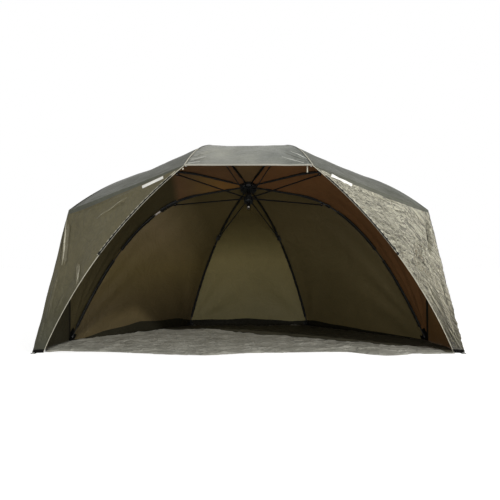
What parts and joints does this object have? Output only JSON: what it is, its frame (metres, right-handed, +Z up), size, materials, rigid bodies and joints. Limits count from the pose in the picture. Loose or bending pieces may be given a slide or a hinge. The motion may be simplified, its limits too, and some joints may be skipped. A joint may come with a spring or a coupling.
{
  "type": "fishing umbrella shelter",
  "caption": "Oval fishing umbrella tilted back as a shelter: ribbed canopy with a brow, wings to the ground, arched front opening, runner fold, groundsheet and peg points.",
  "frame": {"origin": "middle of the footprint on the ground", "axes": "+Z up, -Y out of the open front, +X to the right of someone who looks in"},
  "size_m": [2.6098, 1.7784, 1.3232],
  "materials": {
    "moulding": "black, satin",
    "fibreglass": "black fibreglass, satin",
    "black_steel": "black coated",
    "dark_tube": "dark anodised",
    "bright_metal": "bright plated",
    "cloth": "olive coated nylon",
    "zip": "black nylon coil",
    "webbing": "black woven",
    "groundsheet": "grey-green woven sheet"
  },
  "bodies": {
    "crown_and_cloth": {"crown_hub": "moulding", "crown_cap": "moulding", "centre_tube": "dark_tube", "pole_socket": "bright_metal", "canopy": "cloth", "wing_right": "cloth", "wing_left": "cloth", "zip_right": "zip", "zip_left": "zip", "peg_tab_right": "webbing", "peg_tab_left": "webbing", "eyelet_right": "bright_metal", "eyelet_left": "bright_metal", "groundsheet": "groundsheet"},
    "runner": {"runner": "moulding"},
    "catch": {"catch_button": "moulding"},
    "rib_front_right": {"rib_tube_front_right": "fibreglass", "bracket_front_right": "moulding"},
    "rod_front_right": {"rib_rod_front_right": "fibreglass", "tip_cap_front_right": "bright_metal"},
    "stretcher_front_right": {"stretcher_front_right": "black_steel"},
    "rib_wing_right": {"rib_tube_wing_right": "fibreglass", "bracket_wing_right": "moulding"},
    "rod_wing_right": {"rib_rod_wing_right": "fibreglass", "tip_cap_wing_right": "bright_metal"},
    "stretcher_wing_right": {"stretcher_wing_right": "black_steel"},
    "rib_side_right": {"rib_tube_side_right": "fibreglass", "bracket_side_right": "moulding"},
    "rod_side_right": {"rib_rod_side_right": "fibreglass", "tip_cap_side_right": "bright_metal"},
    "stretcher_side_right": {"stretcher_side_right": "black_steel"},
    "rib_rear_right": {"rib_tube_rear_right": "fibreglass", "bracket_rear_right": "moulding"},
    "rod_rear_right": {"rib_rod_rear_right": "fibreglass", "tip_cap_rear_right": "bright_metal"},
    "stretcher_rear_right": {"stretcher_rear_right": "black_steel"},
    "rib_rear_left": {"rib_tube_rear_left": "fibreglass", "bracket_rear_left": "moulding"},
    "rod_rear_left": {"rib_rod_rear_left": "fibreglass", "tip_cap_rear_left": "bright_metal"},
    "stretcher_rear_left": {"stretcher_rear_left": "black_steel"},
    "rib_side_left": {"rib_tube_side_left": "fibreglass", "bracket_side_left": "moulding"},
    "rod_side_left": {"rib_rod_side_left": "fibreglass", "tip_cap_side_left": "bright_metal"},
    "stretcher_side_left": {"stretcher_side_left": "black_steel"},
    "rib_wing_left": {"rib_tube_wing_left": "fibreglass", "bracket_wing_left": "moulding"},
    "rod_wing_left": {"rib_rod_wing_left": "fibreglass", "tip_cap_wing_left": "bright_metal"},
    "stretcher_wing_left": {"stretcher_wing_left": "black_steel"},
    "rib_front_left": {"rib_tube_front_left": "fibreglass", "bracket_front_left": "moulding"},
    "rod_front_left": {"rib_rod_front_left": "fibreglass", "tip_cap_front_left": "bright_metal"},
    "stretcher_front_left": {"stretcher_front_left": "black_steel"}
  },
  "joints": [
    {"name": "front_right_fold", "type": "hinge", "parent": "crown_and_cloth", "child": "rib_front_right", "pos_m": [0.01722, 0.16179, 1.12398], "axis": [0.9239, 0.3304, -0.1931], "range_deg": [0, 70.29]},
    {"name": "front_right_flex", "type": "hinge", "parent": "rib_front_right", "child": "rod_front_right", "pos_m": [0.24074, -0.35476, 1.30954], "axis": [0.9239, 0.3304, -0.1931], "range_deg": [-26.8, 0]},
    {"name": "front_right_stretcher", "type": "hinge", "parent": "rib_front_right", "child": "stretcher_front_right", "pos_m": [0.21393, -0.29131, 1.28984], "axis": [0.9239, 0.3304, -0.1931], "range_deg": [-148.91, 0]},
    {"name": "wing_right_fold", "type": "hinge", "parent": "crown_and_cloth", "child": "rib_wing_right", "pos_m": [0.04013, 0.18011, 1.11327], "axis": [0.4524, 0.77, -0.4499], "range_deg": [0, 68.65]},
    {"name": "wing_right_flex", "type": "hinge", "parent": "rib_wing_right", "child": "rod_wing_right", "pos_m": [0.56744, -0.09265, 1.17675], "axis": [0.4524, 0.77, -0.4499], "range_deg": [-14.3, 0]},
    {"name": "wing_right_stretcher", "type": "hinge", "parent": "rib_wing_right", "child": "stretcher_wing_right", "pos_m": [0.5032, -0.06251, 1.16373], "axis": [0.4524, 0.77, -0.4499], "range_deg": [-142.21, 0]},
    {"name": "side_right_fold", "type": "hinge", "parent": "crown_and_cloth", "child": "rib_side_right", "pos_m": [0.04423, 0.20483, 1.09882], "axis": [-0.184, 0.8487, -0.4959], "range_deg": [0, 70], "deforming": ["canopy", "wing_right", "wing_left", "groundsheet"]},
    {"name": "side_right_flex", "type": "hinge", "parent": "rib_side_right", "child": "rod_side_right", "pos_m": [0.61803, 0.2451, 0.9549], "axis": [-0.184, 0.8487, -0.4959], "range_deg": [-37.5, 0]},
    {"name": "side_right_stretcher", "type": "hinge", "parent": "rib_side_right", "child": "stretcher_side_right", "pos_m": [0.54883, 0.24107, 0.97367], "axis": [-0.184, 0.8487, -0.4959], "range_deg": [-150.91, 0]},
    {"name": "rear_right_fold", "type": "hinge", "parent": "crown_and_cloth", "child": "rib_rear_right", "pos_m": [0.01802, 0.23329, 1.0822], "axis": [-0.9164, 0.3457, -0.202], "range_deg": [0, 67.7]},
    {"name": "rear_right_flex", "type": "hinge", "parent": "rib_rear_right", "child": "rod_rear_right", "pos_m": [0.25307, 0.64467, 0.71982], "axis": [-0.9164, 0.3457, -0.202], "range_deg": [-12.7, 0]},
    {"name": "rear_right_stretcher", "type": "hinge", "parent": "rib_rear_right", "child": "stretcher_rear_right", "pos_m": [0.2242, 0.59056, 0.75818], "axis": [-0.9164, 0.3457, -0.202], "range_deg": [-150.81, 0]},
    {"name": "rear_left_fold", "type": "hinge", "parent": "crown_and_cloth", "child": "rib_rear_left", "pos_m": [-0.01802, 0.23329, 1.0822], "axis": [-0.9164, -0.3457, 0.202], "range_deg": [0, 67.7]},
    {"name": "rear_left_flex", "type": "hinge", "parent": "rib_rear_left", "child": "rod_rear_left", "pos_m": [-0.25307, 0.64467, 0.71982], "axis": [-0.9164, -0.3457, 0.202], "range_deg": [-12.7, 0]},
    {"name": "rear_left_stretcher", "type": "hinge", "parent": "rib_rear_left", "child": "stretcher_rear_left", "pos_m": [-0.2242, 0.59056, 0.75818], "axis": [-0.9164, -0.3457, 0.202], "range_deg": [-150.81, 0]},
    {"name": "side_left_fold", "type": "hinge", "parent": "crown_and_cloth", "child": "rib_side_left", "pos_m": [-0.04423, 0.20483, 1.09882], "axis": [-0.184, -0.8487, 0.4959], "range_deg": [0, 70]},
    {"name": "side_left_flex", "type": "hinge", "parent": "rib_side_left", "child": "rod_side_left", "pos_m": [-0.61803, 0.2451, 0.9549], "axis": [-0.184, -0.8487, 0.4959], "range_deg": [-37.5, 0]},
    {"name": "side_left_stretcher", "type": "hinge", "parent": "rib_side_left", "child": "stretcher_side_left", "pos_m": [-0.54883, 0.24107, 0.97367], "axis": [-0.184, -0.8487, 0.4959], "range_deg": [-150.91, 0]},
    {"name": "wing_left_fold", "type": "hinge", "parent": "crown_and_cloth", "child": "rib_wing_left", "pos_m": [-0.04013, 0.18011, 1.11327], "axis": [0.4524, -0.77, 0.4499], "range_deg": [0, 68.65]},
    {"name": "wing_left_flex", "type": "hinge", "parent": "rib_wing_left", "child": "rod_wing_left", "pos_m": [-0.56744, -0.09265, 1.17675], "axis": [0.4524, -0.77, 0.4499], "range_deg": [-14.3, 0]},
    {"name": "wing_left_stretcher", "type": "hinge", "parent": "rib_wing_left", "child": "stretcher_wing_left", "pos_m": [-0.5032, -0.06251, 1.16373], "axis": [0.4524, -0.77, 0.4499], "range_deg": [-142.21, 0]},
    {"name": "front_left_fold", "type": "hinge", "parent": "crown_and_cloth", "child": "rib_front_left", "pos_m": [-0.01722, 0.16179, 1.12398], "axis": [0.9239, -0.3304, 0.1931], "range_deg": [0, 70.29]},
    {"name": "front_left_flex", "type": "hinge", "parent": "rib_front_left", "child": "rod_front_left", "pos_m": [-0.24074, -0.35476, 1.30954], "axis": [0.9239, -0.3304, 0.1931], "range_deg": [-26.8, 0]},
    {"name": "front_left_stretcher", "type": "hinge", "parent": "rib_front_left", "child": "stretcher_front_left", "pos_m": [-0.21393, -0.29131, 1.28984], "axis": [0.9239, -0.3304, 0.1931], "range_deg": [-148.91, 0]},
    {"name": "runner_slide", "type": "slide", "parent": "crown_and_cloth", "child": "runner", "axis": [0, -0.5045, -0.8634], "range_m": [0, 0.9296]},
    {"name": "catch_press", "type": "slide", "parent": "runner", "child": "catch", "axis": [0, 0.8634, -0.5045], "range_m": [0, 0.004], "stiffness_N_per_m": 300}
  ],
  "couplings": [
    {"joint": "front_right_fold", "follows": "side_right_fold", "ratio": 1.0041},
    {"joint": "front_right_flex", "follows": "side_right_fold", "ratio": -0.38286},
    {"joint": "front_right_stretcher", "follows": "side_right_fold", "ratio": -2.1272},
    {"joint": "wing_right_fold", "follows": "side_right_fold", "ratio": 0.98069},
    {"joint": "wing_right_flex", "follows": "side_right_fold", "ratio": -0.20429},
    {"joint": "wing_right_stretcher", "follows": "side_right_fold", "ratio": -2.0315},
    {"joint": "side_right_flex", "follows": "side_right_fold", "ratio": -0.53571},
    {"joint": "side_right_stretcher", "follows": "side_right_fold", "ratio": -2.1559},
    {"joint": "rear_right_fold", "follows": "side_right_fold", "ratio": 0.96712},
    {"joint": "rear_right_flex", "follows": "side_right_fold", "ratio": -0.18143},
    {"joint": "rear_right_stretcher", "follows": "side_right_fold", "ratio": -2.1543},
    {"joint": "rear_left_fold", "follows": "side_right_fold", "ratio": 0.96712},
    {"joint": "rear_left_flex", "follows": "side_right_fold", "ratio": -0.18143},
    {"joint": "rear_left_stretcher", "follows": "side_right_fold", "ratio": -2.1543},
    {"joint": "side_left_fold", "follows": "side_right_fold", "ratio": 1},
    {"joint": "side_left_flex", "follows": "side_right_fold", "ratio": -0.53571},
    {"joint": "side_left_stretcher", "follows": "side_right_fold", "ratio": -2.1559},
    {"joint": "wing_left_fold", "follows": "side_right_fold", "ratio": 0.98069},
    {"joint": "wing_left_flex", "follows": "side_right_fold", "ratio": -0.20429},
    {"joint": "wing_left_stretcher", "follows": "side_right_fold", "ratio": -2.0315},
    {"joint": "front_left_fold", "follows": "side_right_fold", "ratio": 1.0041},
    {"joint": "front_left_flex", "follows": "side_right_fold", "ratio": -0.38286},
    {"joint": "front_left_stretcher", "follows": "side_right_fold", "ratio": -2.1272},
    {"joint": "runner_slide", "follows": "side_right_fold", "m_per_rad": 0.76079}
  ]
}
